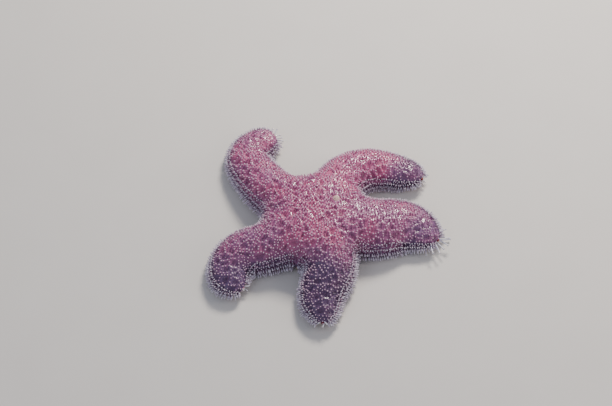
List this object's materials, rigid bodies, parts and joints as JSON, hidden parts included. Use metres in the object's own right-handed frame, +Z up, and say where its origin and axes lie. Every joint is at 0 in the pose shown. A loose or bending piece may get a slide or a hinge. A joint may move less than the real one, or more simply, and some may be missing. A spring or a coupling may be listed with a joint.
{
  "type": "sea star",
  "caption": "Life-size still model of a spiny sea star lying flat with bent arms, with tube feet below.",
  "frame": {"origin": "on the floor under the middle of the whole star's box; the tube feet stand on Z = 0", "axes": "+Z up, away from the mouth; +X towards the right arm, +Y away from the viewer"},
  "size_m": [0.2379, 0.2459, 0.0413],
  "materials": {
    "skin": "moist, grainy mauve skin",
    "spines": "matte lime, rounded tips",
    "tube_feet": "soft, moist, see-through",
    "sieve_plate": "matte, finely grooved",
    "mouth_skin": "soft, moist",
    "eyespot": "moist red"
  },
  "bodies": {
    "root": {"disc": "skin", "arm_right_root": "skin", "arm_right_middle": "skin", "arm_right_tip": "skin", "arm_rear_right_root": "skin", "arm_rear_right_middle": "skin", "arm_rear_right_tip": "skin", "arm_rear_left_root": "skin", "arm_rear_left_middle": "skin", "arm_rear_left_tip": "skin", "arm_left_root": "skin", "arm_left_middle": "skin", "arm_left_tip": "skin", "arm_front_root": "skin", "arm_front_middle": "skin", "arm_front_tip": "skin", "sieve_plate": "sieve_plate", "mouth": "mouth_skin", "eyespot_right": "eyespot", "eyespot_rear_right": "eyespot", "eyespot_rear_left": "eyespot", "eyespot_left": "eyespot", "eyespot_front": "eyespot"}
  },
  "joints": []
}
